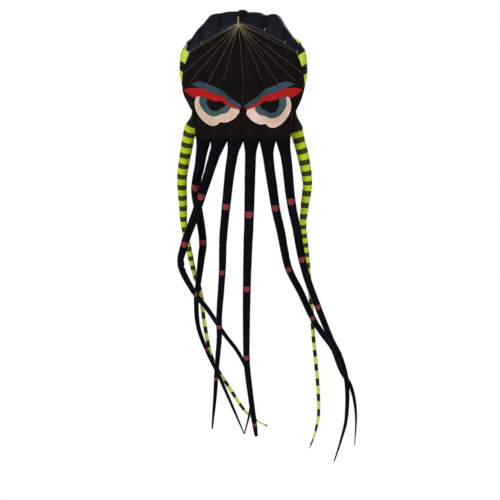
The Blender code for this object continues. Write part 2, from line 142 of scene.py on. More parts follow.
CAMERA_AZIMUTH = radians(3)
CAMERA_DISTANCE = 200.0
FRAME_WIDTH = 6.0         # what the long lens takes in, at the kite
AIM = Vector((0.084, 1.10, -2.784))
LIGHTS = (  # name, place, size, power
    ("key", (-5.5, -7.5, 2.5), 5.0, 640.0),
    ("fill", (7.0, -6.0, -1.5), 6.0, 300.0),
    ("back", (3.5, 8.5, 1.5), 6.0, 420.0),
    ("low", (-4.0, 6.5, -4.0), 6.0, 160.0),
)
SKY_LIGHT = (0.90, 0.95, 1.0, 1.0)
SKY_STRENGTH = 0.34


def add_camera():
    data = bpy.data.cameras.new("camera")
    data.sensor_width = 36.0
    data.lens = data.sensor_width * CAMERA_DISTANCE / FRAME_WIDTH
    data.clip_end = 1000.0
    camera = link("camera", data)
    back = Vector((sin(CAMERA_AZIMUTH), -cos(CAMERA_AZIMUTH), 0))
    camera.location = AIM + back * CAMERA_DISTANCE
    camera.rotation_euler = (-back).to_track_quat("-Z", "Y").to_euler()
    bpy.context.scene.camera = camera


def add_lights():
    for name, place, size, power in LIGHTS:
        data = bpy.data.lights.new(name, "AREA")
        data.shape = "DISK"
        data.size = size
        data.energy = power
        lamp = link(name, data)
        lamp.location = place
        lamp.rotation_euler = (Vector(place) - AIM).to_track_quat("Z", "Y").to_euler()
    # The camera sees a white sky, and the kite is lit by a softer, bluer one.
    world = bpy.data.worlds.new("studio")
    world.use_nodes = True
    nodes, join = world.node_tree.nodes, world.node_tree.links.new
    shown, lighting = nodes["Background"], nodes.new("ShaderNodeBackground")
    shown.inputs["Color"].default_value = (1.0, 1.0, 1.0, 1.0)
    lighting.inputs["Color"].default_value = SKY_LIGHT
    lighting.inputs["Strength"].default_value = SKY_STRENGTH
    mix, path = nodes.new("ShaderNodeMixShader"), nodes.new("ShaderNodeLightPath")
    join(path.outputs["Is Camera Ray"], mix.inputs["Fac"])
    join(lighting.outputs["Background"], mix.inputs[1])
    join(shown.outputs["Background"], mix.inputs[2])
    join(mix.outputs["Shader"], nodes["World Output"].inputs["Surface"])
    bpy.context.scene.world = world
    bpy.context.scene.view_settings.view_transform = "Standard"


# ---------------------------------------------------------------- materials

THREAD_PITCH = 0.005      # of ripstop's thicker threads
THREAD_WIDTH = 0.0007
WEAVE = 9000.0            # waves of the fine weave, in radians a metre
NET_PITCH = 0.0042
THIN_END = (1.6, 2.7)     # where the striped legs get so thin that light shines through, which is painted in as lighter colour


class Finish:
    """A Principled material, with short ways to add nodes that drive its sockets."""

    def __init__(self, name, roughness, specular=0.25, sheen=0.0):
        self.material = bpy.data.materials.new(name)
        self.material.use_nodes = True
        self.tree = self.material.node_tree
        self.shader = self.tree.nodes["Principled BSDF"]
        for socket, value in (("Roughness", roughness), ("Specular IOR Level", specular),
                              ("Sheen Weight", sheen), ("Sheen Roughness", 0.35)):
            self.shader.inputs[socket].default_value = value

    def add(self, kind, inputs=(), output=0, **settings):
        made = self.tree.nodes.new("ShaderNode" + kind)
        for key, value in settings.items():
            setattr(made, key, value)
        for socket, value in dict(inputs).items():
            if isinstance(value, bpy.types.NodeSocket):
                self.tree.links.new(value, made.inputs[socket])
            else:
                made.inputs[socket].default_value = value
        return made.outputs[output]

    def math(self, operation, a, b=0.0):
        return self.add("Math", {0: a, 1: b}, operation=operation)

    def times(self, a, b):
        return self.math("MULTIPLY", a, b)

    def below(self, a, b):
        return self.math("LESS_THAN", a, b)

    def size(self, a):
        return self.math("ABSOLUTE", a)

    def mix(self, share, *colours):
        a, b = (colour if isinstance(colour, bpy.types.NodeSocket) else (*colour, 1.0)
                for colour in colours)
        return self.add("Mix", {0: share, 6: a, 7: b}, output=2, data_type="RGBA")

    def ramp(self, value, low, high, start=0.0, end=1.0):
        return self.add("MapRange", {0: value, 1: low, 2: high, 3: start, 4: end})

    def noise(self, place, scale, detail, distortion=0.0):
        return self.add("TexNoise", {"Vector": place, "Scale": scale, "Detail": detail,
                                     "Distortion": distortion})

    def drive(self, socket, value):
        self.tree.links.new(value, self.shader.inputs[socket])

    def layer(self, name):
        """The place that a UV layer gives, and its two coordinates."""
        place = self.add("UVMap", uv_map=name)
        parts = self.add("SeparateXYZ", {0: place}).node.outputs
        return place, parts[0], parts[1]

    def grid(self, x, y, pitch, width):
        """1 on thin lines that cross x and y every pitch."""
        lines = [self.below(self.math("PINGPONG", value, pitch / 2), width / 2)
                 for value in (x, y)]
        return self.math("MAXIMUM", *lines)

    def bumps(self, *heights):
        """Bump from (height, depth in metres, strength), one after another."""
        inputs = {}
        for height, depth, strength in heights:
            inputs |= {"Height": height, "Distance": depth, "Strength": strength}
            inputs["Normal"] = self.add("Bump", inputs)
        self.drive("Normal", inputs["Normal"])


def scaled(colour, factor):
    return tuple(min(1.0, c * factor) for c in colour)


def ripstop(name, colour, other, roughness=0.55, specular=0.2, crumple=0.5, seam=None,
            bands=None, hem=None, painted_seam_shade=0.0):
    """Ripstop nylon: a grid of thicker threads, a fine weave, folding creases and fading.

    seam is the colour of the stitches along the seams that the layer "Seam" measures, hem that
    of the cloth turned over there, and painted_seam_shade how far painted shade darkens the cloth
    beside it. bands is (second colour, its own fading, share, colour outside the bands, painted
    glow of the second colour at the thin end): cloth sewn in bands that the layer "Band" counts.
    """
    made = Finish(name + "_ripstop", roughness, specular)
    times, below, size = made.times, made.below, made.size
    place, x, y = made.layer("Cloth")
    threads = made.grid(x, y, THREAD_PITCH, THREAD_WIDTH)
    fine = times(*(made.math("SINE", times(value, WEAVE)) for value in (x, y)))
    faded = made.ramp(made.noise(place, 3.2, 4.0), 0.35, 0.68)
    folds = made.noise(place, 9.0, 2.5, 0.6)
    creases = made.add("TexVoronoi", {"Vector": place, "Scale": 14.0, "Randomness": 1.0},
                       feature="SMOOTH_F1")
    heights = [(folds, 0.020, crumple), (creases, 0.007, crumple),
               (threads, 0.0002, 0.5), (fine, 0.00005, 0.25)]
    body = made.mix(faded, colour, other)
    if bands:
        second, second_other, share, plain, sunlit = bands
        allowed, count = made.layer("Band")[1:]
        fraction = made.math("FRACT", count)
        banded = made.math("GREATER_THAN", allowed, 0.0)
        # Painted glow: over this span the colours turn lighter, painted in for the light that
        # shines through the thin leg.
        thin = made.ramp(y, *THIN_END)
        body = made.mix(banded, plain, made.mix(thin, body, scaled(plain, 2.2)))
        second_body = made.mix(thin, made.mix(faded, second, second_other), sunlit)
        body = made.mix(times(below(fraction, share), banded), body, second_body)
        away = made.math("MINIMUM", fraction, size(made.math("SUBTRACT", fraction, share)))
        edge = below(away, 0.022)
        body = made.mix(times(edge, 0.45), body, (0.01, 0.011, 0.008))
    lighter = (0.5, body, scaled(other, 5)) if max(colour) < 0.05 else (0.10, body, (1, 1, 1))
    body = made.mix(times(threads, 0.30), body, made.mix(*lighter))
    if seam:
        away, along = made.layer("Seam")[1:]
        away = size(away)
        # Painted shade: the cloth beside each rib seam is darkened, standing in for the shade in
        # the valleys there.
        if painted_seam_shade:
            share = times(made.ramp(away, 0.006, 0.042, 1.0, 0.0), painted_seam_shade)
            body = made.mix(share, body, (0.0012, 0.0011, 0.0014))
        if hem:
            body = made.mix(below(away, 0.0085), body, hem)
        row = below(size(made.math("SUBTRACT", away, 0.0040)), 0.0006)
        stitch = times(row, below(made.math("FRACT", times(along, 280.0)), 0.62))
        body = made.mix(stitch, body, seam)
        gathered = made.ramp(away, 0.0, 0.012, 1.0, 0.0)
        edge = made.math("MAXIMUM", times(stitch, 1.6), gathered)
    if seam or bands:
        heights.append((edge, 0.0007, 0.8))
    made.drive("Base Color", body)
    made.drive("Roughness", made.ramp(folds, 0.3, 0.7, roughness - 0.07, roughness + 0.09))
    made.bumps(*heights)
    return made.material


def cord_material(name, colour, other, pitch, near_knot=None):
    """Braided cord: slanting strands round the line and slow changes of tone along it.

    near_knot is the lighter colour that the cord is given close to the knot, where the lines are
    bunched.
    """
    made = Finish(name, 0.62, 0.3, 0.15)
    place = made.add("TexCoord", output=3)
    tone = made.noise(place, 7.0, 3.0)
    strands = made.add("TexWave", {"Vector": place, "Scale": 1.0 / pitch, "Distortion": 1.5,
                                   "Detail": 2.0}, output=1, bands_direction="DIAGONAL")
    body = made.mix(made.ramp(tone, 0.35, 0.65), colour, other)
    if near_knot:
        away = made.add("VectorMath", {0: place, 1: KNOT}, output=1, operation="DISTANCE")
        body = made.mix(made.ramp(away, 0.04, 0.42), near_knot, body)
    made.drive("Base Color", made.mix(made.times(strands, 0.35), body, scaled(other, 0.45)))
    made.bumps((strands, 0.0004, 0.7))
    return made.material


def net_material(name, colour, hole, width):
    """Knitted mesh: pale threads over dark holes, in a diamond grid that "Cloth" sets."""
    made = Finish(name, 0.7, 0.2)
    x, y = made.layer("Cloth")[1:]
    threads = made.grid(made.math("ADD", x, y), made.math("SUBTRACT", x, y), NET_PITCH, width)
    made.drive("Base Color", made.mix(threads, hole, colour))
    made.bumps((threads, 0.0005, 0.8))
    return made.material


def floor_material():
    made = Finish("studio_floor", 0.65, 0.2)
    place = made.add("TexCoord", output=3)
    patches, grain = made.noise(place, 0.8, 3.0), made.noise(place, 60.0, 2.0)
    made.drive("Base Color", made.mix(patches, (0.80, 0.80, 0.79), (0.84, 0.84, 0.83)))
    made.bumps((grain, 0.001, 0.2))
    return made.material


KNOT = Vector((0.0, 0.070, -0.093))    # the middle of the knot where all lines meet
BAND_SHARE = 0.55         # of the striped legs' length, how much is bright
CHEEK_NEON = (0.48, 0.64, 0.020)
MATERIALS = {
    "nose": ripstop("nose", (0.0060, 0.0064, 0.0108), (0.0092, 0.0098, 0.0168), 0.50, 0.07,
                    seam=(0.024, 0.024, 0.032), painted_seam_shade=0.75),
    "belly": ripstop("belly", (0.0056, 0.0034, 0.0026), (0.0078, 0.0050, 0.0040), 0.55, 0.03,
                     seam=(0.026, 0.022, 0.019), painted_seam_shade=0.4),
    "back": ripstop("back", (0.0056, 0.0056, 0.0092), (0.0082, 0.0084, 0.0138), 0.50, 0.07,
                    seam=(0.024, 0.024, 0.032)),
    "leg": ripstop("leg", (0.0022, 0.0024, 0.0042), (0.0040, 0.0044, 0.0070), 0.55, 0.02),
    # The last colour of the striped legs' bands is painted glow: lighter cloth at the thin end, for
    # light shining through.
    "striped": ripstop("striped", (0.031, 0.034, 0.0045), (0.044, 0.048, 0.0080), 0.54, 0.10,
                       0.35, bands=((0.52, 0.66, 0.008), (0.60, 0.76, 0.030), BAND_SHARE,
                                    (0.004, 0.004, 0.004), (0.60, 0.80, 0.115))),
    "cheek": ripstop("cheek", (0.0060, 0.0056, 0.0062), (0.010, 0.0085, 0.0085), 0.54, 0.06,
                     0.35, bands=(CHEEK_NEON, (0.64, 0.84, 0.09), 0.58,
                                  (0.0060, 0.0054, 0.0056), CHEEK_NEON)),
    "red": ripstop("red", (0.36, 0.0040, 0.0030), (0.47, 0.0070, 0.0050), 0.55, 0.03, 0.3,
                   seam=(0.15, 0.004, 0.004)),
    "blue": ripstop("blue", (0.018, 0.042, 0.055), (0.034, 0.072, 0.112), 0.55, 0.04, 0.3,
                    seam=(0.016, 0.040, 0.060)),
    "cream": ripstop("cream", (0.58, 0.38, 0.27), (0.80, 0.58, 0.48), 0.55, 0.10, 0.3,
                     seam=(0.45, 0.30, 0.24), hem=(0.90, 0.73, 0.67)),
    "teal": ripstop("teal", (0.028, 0.060, 0.070), (0.048, 0.098, 0.112), 0.55, 0.05, 0.3,
                    seam=(0.028, 0.060, 0.072)),
    "pupil": ripstop("pupil", (0.0045, 0.0036, 0.0044), (0.0068, 0.0050, 0.0058), 0.6, 0.03,
                     0.3, seam=(0.02, 0.02, 0.02)),
    "spot": ripstop("spot", (0.235, 0.014, 0.015), (0.31, 0.021, 0.020), 0.55, 0.08, 0.2),
    "spot_rim": ripstop("spot_rim", (0.20, 0.062, 0.055), (0.26, 0.090, 0.075), 0.55, 0.1, 0.2),
    "rib": ripstop("rib", (0.006, 0.006, 0.009), (0.010, 0.010, 0.013), 0.6, 0.08),
    "net": net_material("intake_net", (0.040, 0.040, 0.044), (0.008, 0.008, 0.010), 0.0009),
    "pale_net": net_material("pale_intake_net", (0.42, 0.42, 0.42), (0.12, 0.12, 0.12), 0.0018),
    "line": cord_material("bridle_line_cord", (0.28, 0.195, 0.145), (0.17, 0.12, 0.09), 0.0035,
                          near_knot=(0.95, 0.70, 0.38)),
    "tow": cord_material("tow_cord", (0.74, 0.62, 0.36), (0.58, 0.44, 0.22), 0.006),
    "knot": cord_material("knot_cord", (0.50, 0.34, 0.14), (0.36, 0.22, 0.09), 0.006),
    "tape": cord_material("pale_tape", (0.46, 0.46, 0.48), (0.34, 0.34, 0.36), 0.0016),
    "dark_tape": cord_material("dark_tape", (0.030, 0.028, 0.028), (0.020, 0.019, 0.019), 0.0016),
    "centre_tape": cord_material("centre_tape", (0.085, 0.078, 0.072), (0.060, 0.054, 0.050),
                                 0.0016),
    "floor": floor_material(),
}


# ---------------------------------------------------------------- the head's shape, as in the CAD

FACE_Y = 1.10
HEAD_BOTTOM = -1.45
HEAD_THICKNESS = 0.44
TAIL_THICKNESS = 0.15
FRONT_BULGE = 0.022
BACK_BULGE = 0.044
FRONT_NOSE = 0.16         # the t where the nose's round ends, on the front and on the back
BACK_NOSE = 0.38
NOSE_DEPTH = 0.4          # where the tip of the nose stands, as a share of the thickness
RAY_START = 0.5           # y from which a ray along +Y looks for the cloth
RIB_TOP_X = (0.0, 0.275, 0.54, 0.69)
RIB_BOTTOM_X = (0.0, 0.195, 0.395, 0.565)
CELL_WIDTH = 0.22
MESH_Z = (-0.070, -0.185, -0.320, -0.430)
MESH_HEIGHT = 0.035
SEAM_GAP = 0.001
NOSE_BACK_EDGE = 0.23
SIDE_GAP = 0.005
CELL_SPAN = (-1.12, -0.30)             # the heights between which a side cell lies on the head
# Height of the nose at places u: shallow scallops between the ribs and a small peak in the middle
NOSE_TOP = milli(
    (-3000, -290), (-2820, -256), (-2500, -190), (-2210, -134), (-2000, -102), (-1790, -52),
    (-1500, 30), (-1250, 54), (-1000, 60), (-750, 76), (-400, 82), (-280, 80), (-180, 97),
    (0, 101), (100, 95), (200, 74), (500, 72), (750, 64), (1000, 36), (1200, 48), (1400, 50),
    (1530, 37), (1650, 15), (1780, -26), (1900, -76), (2000, -110), (2190, -150),
    (2420, -192), (2620, -234), (3000, -290),
)


def rib_x(u, z):
    share = clamp((0.1 - z) / (0.1 - HEAD_BOTTOM))
    across = lerp(between(RIB_TOP_X, abs(u)), between(RIB_BOTTOM_X, abs(u)), share)
    return copysign(across, u)


def place_at(u, z):
    top = from_smooth_table(NOSE_TOP, u)
    return (top - z) / (top - HEAD_BOTTOM)


def thickness(u):
    return HEAD_THICKNESS * (1 - 0.043 * u * u)


def rounding(near):
    """How far back a quarter round has come, near its tip (1) or at its end (0)."""
    return 1 - sqrt(1 - near * near)


def from_rib(u):
    """How far u is from the nearest rib, 0 to 0.5."""
    return abs(u - round(u))


def swelling(u, t):
    """How full a cell stands between its ribs: rounder in the middle, pulled in at both ends."""
    return sin(pi * from_rib(u)) ** 0.85 * sin(pi * min(1.0, 0.25 + 0.75 * t))


def pucker(u, t, side):
    """The small gathers that the rib seams pull into the cloth, and slack folds in the cells."""
    along = 1.45 * t
    away = from_rib(u)
    near = exp(-((away * CELL_WIDTH / 0.045) ** 2))
    wave = noise(Vector((round(u) * 7.3 + side * 11.0, along * 21.0, 0.0)))
    fold = noise(Vector((u * 1.7 + side * 5.0, along * 3.2, 3.0)))
    edge = min(1.0, 12.0 * away) if side < 1 else 1.0
    return edge * (0.0060 * near * wave * (0.3 + 1.4 * away) + 0.0055 * fold * away)


def front_y(u, t):
    y = FACE_Y + NOSE_DEPTH * thickness(u) * rounding(max(0.0, 1 - t / FRONT_NOSE))
    return y - FRONT_BULGE * swelling(u, t) - pucker(u, t, 0)


def back_y(u, t):
    full = thickness(u)
    if t < BACK_NOSE:
        depth = lerp(full, NOSE_DEPTH * full, rounding(1 - t / BACK_NOSE))
    else:
        share = 0.5 + 0.5 * cos(pi * (t - BACK_NOSE) / (1 - BACK_NOSE))
        depth = lerp(TAIL_THICKNESS, full, share)
    return FACE_Y + depth + BACK_BULGE * swelling(u, t) + 1.6 * pucker(u, t, 1)


def skin_point(depth_of, u, t):
    z = lerp(from_smooth_table(NOSE_TOP, u), HEAD_BOTTOM, t)
    return Vector((rib_x(u, z), depth_of(u, t), z))


def net_line(u, above=0.0):
    """Where along t an intake net ends below, or above with its height."""
    return place_at(u, between(MESH_Z, abs(u)) + above)


def belly_point(u, share):
    return skin_point(front_y, u, lerp(net_line(u) + SEAM_GAP, 1.0, share))


def nose_point(u, share):
    """A point of the nose, which wraps from below the front (s under 0) over to the back."""
    s = lerp(-sqrt(net_line(u, MESH_HEIGHT) - SEAM_GAP), NOSE_BACK_EDGE, share)
    return skin_point(front_y if s < 0 else back_y, u, s * s)


def back_skin_point(u, share):
    return skin_point(back_y, u, lerp(NOSE_BACK_EDGE ** 2 + SEAM_GAP, 1.0, share))


def intake_point(u, share):
    return skin_point(front_y, u, lerp(net_line(u, MESH_HEIGHT) + SEAM_GAP,
                                       net_line(u) - SEAM_GAP, share))


# ---------------------------------------------------------------- the bridle: cords come first

KNOT_DEPTH = 0.012
LINE_DIAMETER = 0.0025
LINE_PITCH = 0.004
LINE_SPREAD = 0.0035
LINE_END_GAP = 0.013
LINES = (
    ("nose_inner", 1, -0.145), ("nose_middle", 2, -0.300), ("nose_outer", 3, -0.415),
    ("middle_row", 1, -0.455), ("side_cell", None, -0.650), ("centre", 0, -0.680),
    ("lower_inner", 1, -0.735), ("lower_outer", 3, -0.750), ("lower_middle", 2, -0.830),
)
# The side cells: depth below 0, half width, half depth and y of their middle
SIDE_CELL = milli(
    (300, 22, 70, 1215), (370, 36, 90, 1210), (440, 52, 100, 1208), (560, 62, 108, 1212),
    (690, 68, 110, 1216), (830, 61, 100, 1222), (970, 47, 80, 1245), (1060, 28, 65, 1285),
    (1115, 14, 45, 1325),
)


def side_cell_at(z):
    """(half width, half depth, y of the middle) of a side cell at a height."""
    return [from_smooth_table([(row[0], row[i]) for row in SIDE_CELL], -z) for i in (1, 2, 3)]


def line_end(u, z):
    """The far end of a bridle line, on the CAD model's own surface."""
    if u is None:
        half_width, half_depth, middle = side_cell_at(z)
        return Vector((rib_x(3, z) + SIDE_GAP + half_width, middle - half_depth - LINE_END_GAP, z))
    near = max(0.0, 1 - place_at(u, z) / FRONT_NOSE)
    y = FACE_Y + NOSE_DEPTH * thickness(u) * rounding(near)
    return Vector((rib_x(u, z), y - LINE_END_GAP, z))


def all_lines():
    """(number of the row, name, u, side, sign, far end) of each bridle line."""
    for order, (name, u, z) in enumerate(LINES):
        x, y, z = line_end(u, z)
        for side, sign in (("right", 1), ("left", -1)) if u != 0 else (("", 1),):
            yield order, name, u, side, sign, Vector((sign * x, y, z))


def settle(piece, slot, *nodes, body="head"):
    """Puts a piece on the body that it rides on and hides the CAD nodes that it stands for. slot,
    its finish, is not used.
    """
    if nodes:
        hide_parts(*nodes)
    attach(piece, body)
    return piece


def curve_object(name, points, radius, material):
    curve = bpy.data.curves.new(name, "CURVE")
    curve.dimensions = "3D"
    curve.bevel_depth = radius
    curve.bevel_resolution = 3
    curve.use_fill_caps = True
    run = curve.splines.new("POLY")
    run.points.add(len(points) - 1)
    for spot, point in zip(run.points, points):
        spot.co = (*point, 1.0)
    curve.materials.append(material)
    return link(name, curve)


def add_bridle():
    for order, name, u, side, sign, last in all_lines():
        rise = (len(LINES) / 2 - 0.5 - order) * LINE_PITCH
        first = KNOT + Vector((sign * LINE_SPREAD * (u != 0), KNOT_DEPTH + LINE_DIAMETER, rise))
        points = [first.lerp(last, share) for share in spread(0, 1, 20)]
        piece = "line_" + name + ("_" + side if side else "")
        cord = curve_object(piece, points, LINE_DIAMETER / 2, MATERIALS["line"])
        settle(cord, "bridle_cord", "bridle_line_" + name)


# ---------------------------------------------------------------- meshes of cloth

CLOTH = 0.0012            # drawn thickness of one layer of ripstop
CELL_COLUMNS = 15
HEAD_COLUMNS = [i / CELL_COLUMNS for i in range(-3 * CELL_COLUMNS, 3 * CELL_COLUMNS + 1)]
FACE_COLUMNS = ([-3 - i / 9 for i in range(9, 0, -1)] + HEAD_COLUMNS
                + [3 + i / 9 for i in range(1, 10)])
RIBS = ["rib_centre", "rib_inner_left", "rib_inner_right", "rib_outer_left", "rib_outer_right"]
# How far out from the middle the face's cloth reaches over the side cells, at each depth below 0
FACE_EDGE = milli(
    (430, 650), (530, 688), (645, 722), (760, 735), (860, 732), (950, 705), (1050, 650),
    (1100, 618), (1140, 591), (1450, 566),
)


def corners(faces, values):
    """Values of every corner of the faces, from those of every point."""
    return [values[index] for face in faces for index in face]


def add_mesh(name, points, faces, materials, layers=(), indices=None):
    """A smooth mesh piece. layers has (u, v) pairs for every point or, in order, every corner."""
    mesh = bpy.data.meshes.new(name)
    mesh.from_pydata([tuple(point) for point in points], [], faces)
    for layer, pairs in dict(layers).items():
        if len(pairs) == len(points):
            pairs = corners(faces, pairs)
        target = mesh.uv_layers.new(name=layer)
        target.data.foreach_set("uv", [value for pair in pairs for value in pair])
    for material in materials:
        mesh.materials.append(MATERIALS[material])
    if indices:
        mesh.polygons.foreach_set("material_index", indices)
    mesh.polygons.foreach_set("use_smooth", [True] * len(mesh.polygons))
    mesh.update()
    return link(name, mesh)


def grid_faces(wide, tall, flip=False, wrap=False, closed=False):
    """Faces between tall rows of wide points. wrap joins the ends of each row, closed the rows."""
    faces = []
    for j in range(tall if closed else tall - 1):
        here, there = j * wide, (j + 1) % tall * wide
        for i in range(wide if wrap else wide - 1):
            k = (i + 1) % wide
            face = (here + i, here + k, there + k, there + i)
            faces.append(face[::-1] if flip else face)
    return faces


def tube(rings, flip=False, closed=False):
    """Points and faces of a tube through rings of points, with a fan over each open end."""
    count = len(rings[0])
    points = [point for ring in rings for point in ring]
    faces = grid_faces(count, len(rings), flip, True, closed)
    if not closed:
        top, last = len(points), len(points) - count
        points += [sum(ring, Vector()) / count for ring in (rings[0], rings[-1])]
        for i in range(count):
            j = (i + 1) % count
            for face in ((j, i, top), (last + i, last + j, top + 1)):
                faces.append(face[::-1] if flip else face)
    return points, faces


def sew(piece, node, slot, flat, area, thick=CLOTH):
    """Gives a sheet of cloth its thickness on its inner side, puts it on the head and hides the CAD
    node that it stands for.
    """
    solid = piece.modifiers.new("cloth_thickness", "SOLIDIFY")
    solid.thickness = thick
    solid.offset = -1
    solid.use_even_offset = False
    settle(piece, slot, node)
    return piece


def add_skin(name, node, slot, material, point, columns, rows, flip, flat, area,
             with_pieces=()):
    """A panel of the head from its grid of points, with cloth and seam coordinates."""
    points, cloth, seam = [], [], []
    lengths = [0.0] * len(columns)
    last_row = None
    for share in spread(0, 1, rows):
        row = [point(u, share) for u in columns]
        if last_row:
            lengths = [far + (a - b).length for far, a, b in zip(lengths, row, last_row)]
        for u, p, far in zip(columns, row, lengths):
            points.append(p)
            cloth.append((p.x, far))
            away = from_rib(u) * CELL_WIDTH if abs(u) <= 3 else abs(p.x) - rib_x(3, p.z)
            seam.append((away, far))
        last_row = row
    faces = grid_faces(len(columns), rows, flip)
    skin = add_mesh(name, points, faces, [material], {"Cloth": cloth, "Seam": seam})
    return sew(skin, node, slot, flat, area)


def add_head_skins(cell_tree):
    def face_point(u, share):
        """The belly, and beyond its outer ribs (u over 3) the cloth that runs on over the cells."""
        base = belly_point(clamp(u, -3, 3), share)
        if abs(u) <= 3:
            return base
        reach = max(0.002, from_smooth_table(FACE_EDGE, -base.z) - abs(base.x))
        x = base.x + copysign(reach * (abs(u) - 3), u)
        hit = cell_tree.ray_cast(Vector((x, RAY_START, base.z)), Vector((0, 1, 0)))[0]
        slope = 0.6 * (abs(x) - abs(base.x))
        y = min(hit.y - 0.0035, base.y + 0.05 + slope) if hit else base.y + slope
        return Vector((x, lerp(base.y, y, smooth(3 * (abs(u) - 3))), base.z))

    belly = add_skin("belly_cloth", "belly_skin", "belly_ripstop", "belly", face_point,
                     FACE_COLUMNS, 90, False, (1.48, 1.45), 1.66, [add_centre_tape()])
    add_skin("nose_cloth", "nose_skin", "black_ripstop", "nose", nose_point,
             HEAD_COLUMNS, 44, True, (1.45, 0.62), 0.69)
    add_skin("back_cloth", "back_skin", "black_ripstop", "back", back_skin_point,
             HEAD_COLUMNS, 64, True, (1.45, 1.62), 1.95)
    for side, ends in (("left", (-3, 0)), ("right", (0, 3))):
        add_skin("intake_net_" + side, "intake_mesh_" + side, "intake_mesh", "net",
                 intake_point, spread(*ends, 37), 3, False, (0.80, 0.036), 0.0234)
    return belly


def add_side_walls():
    """The outer walls of the head: cloth that bellies out, but in a little beside a side cell."""
    columns, places = spread(0, 1, 14), spread(0.004, 0.997, 60)
    for side, sign in (("left", -1), ("right", 1)):
        points, cloth = [], []
        for t in places:
            z = lerp(from_smooth_table(NOSE_TOP, 3), HEAD_BOTTOM, t)
            low, high = front_y(3, t), back_y(3, t)
            for share in columns:
                out = 0.016 * sin(pi * clamp(4 * t))
                if CELL_SPAN[0] < z < CELL_SPAN[1]:
                    out = -0.010
                y = lerp(low, high, share)
                points.append(Vector((sign * (rib_x(3, z) + out * sin(pi * share)), y, z)))
                cloth.append((y, -z))
        faces = grid_faces(len(columns), len(places), sign > 0)
        wall = add_mesh("side_panel_" + side, points, faces, ["rib"], {"Cloth": cloth})
        sew(wall, "side_wall_" + side, "black_ripstop", (0.30, 1.17), 0.255)


# ---------------------------------------------------------------- side cells

# Where the stripes of a side cell begin, measured out from the middle, at each depth below 0
STRIPE_EDGE = milli((260, 600), (400, 622), (530, 688), (645, 722), (760, 734), (840, 760),
                    (900, 850), (1300, 900))
BAND_TILT = 0.62          # the bands of a side cell slope in towards the face
SIDE_PITCH = 0.27
# Half width of a side cell's rounded top, at each depth below 0
CELL_TOP = milli((240, 3), (269, 11.5), (311, 16), (370, 33), (440, 52))
NET_ROWS = 12             # of the left cell's net, from its top


def side_cell_ring(z):
    """(out, y) places round a side cell: flat against the head and flush with the belly."""
    if z > -0.370:
        half_width = from_smooth_table(CELL_TOP, -z)
        half_depth = 0.090 * sqrt(clamp((-0.238 - z) / 0.132))
        middle = 1.212
    else:
        half_width, half_depth, middle = side_cell_at(z)
    low, high = middle - half_depth, middle + half_depth
    flush = min(low, lerp(FACE_Y + 0.004, low, smooth((-1.03 - z) / 0.10)))
    if z > -0.44:
        flush = lerp(low, flush, smooth((-0.30 - z) / 0.14))
    ring = [(half_width * sin(pi * i / 16), middle + half_depth * cos(pi * i / 16))
            for i in range(17)]
    ring += [(-half_width * i / 5, lerp(low, flush, (i / 5) ** 1.4)) for i in range(1, 6)]
    ring += [(-half_width, lerp(flush, high, i / 3)) for i in range(1, 4)]
    ring += [(-half_width * (1 - i / 3), high) for i in range(1, 3)]
    return half_width, ring


def add_side_cells():
    made = []
    heights = [-0.2405, -0.244, -0.250, -0.258, -0.268, -0.284] + spread(-0.300, -1.150, 70)
    for side, sign, first_band in (("left", -1, 0.372), ("right", 1, 0.412)):
        rings, cloth, band = [], [], []
        for z in heights:
            half_width, ring = side_cell_ring(z)
            inner_x = rib_x(3, clamp(z, -1.115, -0.290)) + SIDE_GAP - max(0.0, z + 0.290)
            rings.append([])
            for i, (out, y) in enumerate(ring):
                wrinkle = 0.0035 * noise(Vector((out * 9, y * 9, z * 14 + sign * 4)))
                x = inner_x + half_width + out
                height = z + BAND_TILT * (out - 0.4 * half_width) * smooth((z + 1.15) / 0.2)
                rings[-1].append(Vector((sign * (x + wrinkle * (out > 0)), y, height)))
                cloth.append((i * 0.012, -z))
                band.append((x - from_table(STRIPE_EDGE, -height),
                             (-z - first_band) / SIDE_PITCH + 4.0))
        cloth += [cloth[0], cloth[-1]]
        band += [band[0], band[-1]]
        points, faces = tube(rings, sign < 0)
        indices = [0] * len(faces)
        if sign < 0:
            # The left cell takes its wind in through a patch of pale net at its top.
            count = len(rings[0])
            for number in range(count * NET_ROWS):
                indices[number] = int(6 <= number % count <= 16)
        cell = add_mesh("side_cell_cloth_" + side, points, faces,
                        ["cheek", "pale_net"] if sign < 0 else ["cheek"],
                        {"Cloth": cloth, "Band": band}, indices)
        settle(cell, "striped_ripstop", "side_cell_" + side)
        made.append(cell)
    return made


# ---------------------------------------------------------------- the face

LAYER = 0.0022            # how far each layer of patches stands in front of the one below
PATCH_CLOTH = 0.0010
RIGHT_EYE_DROP = 0.024    # the right eye sits this much lower
SHARP_TURN = radians(48)  # a corner of an outline that turns more than this stays sharp
PATCH_STEP = 0.011
RIM_ROOM = 0.005          # no points inside a patch this close to its rim
DEEPEST = 1.24            # y past which a ray has missed the face
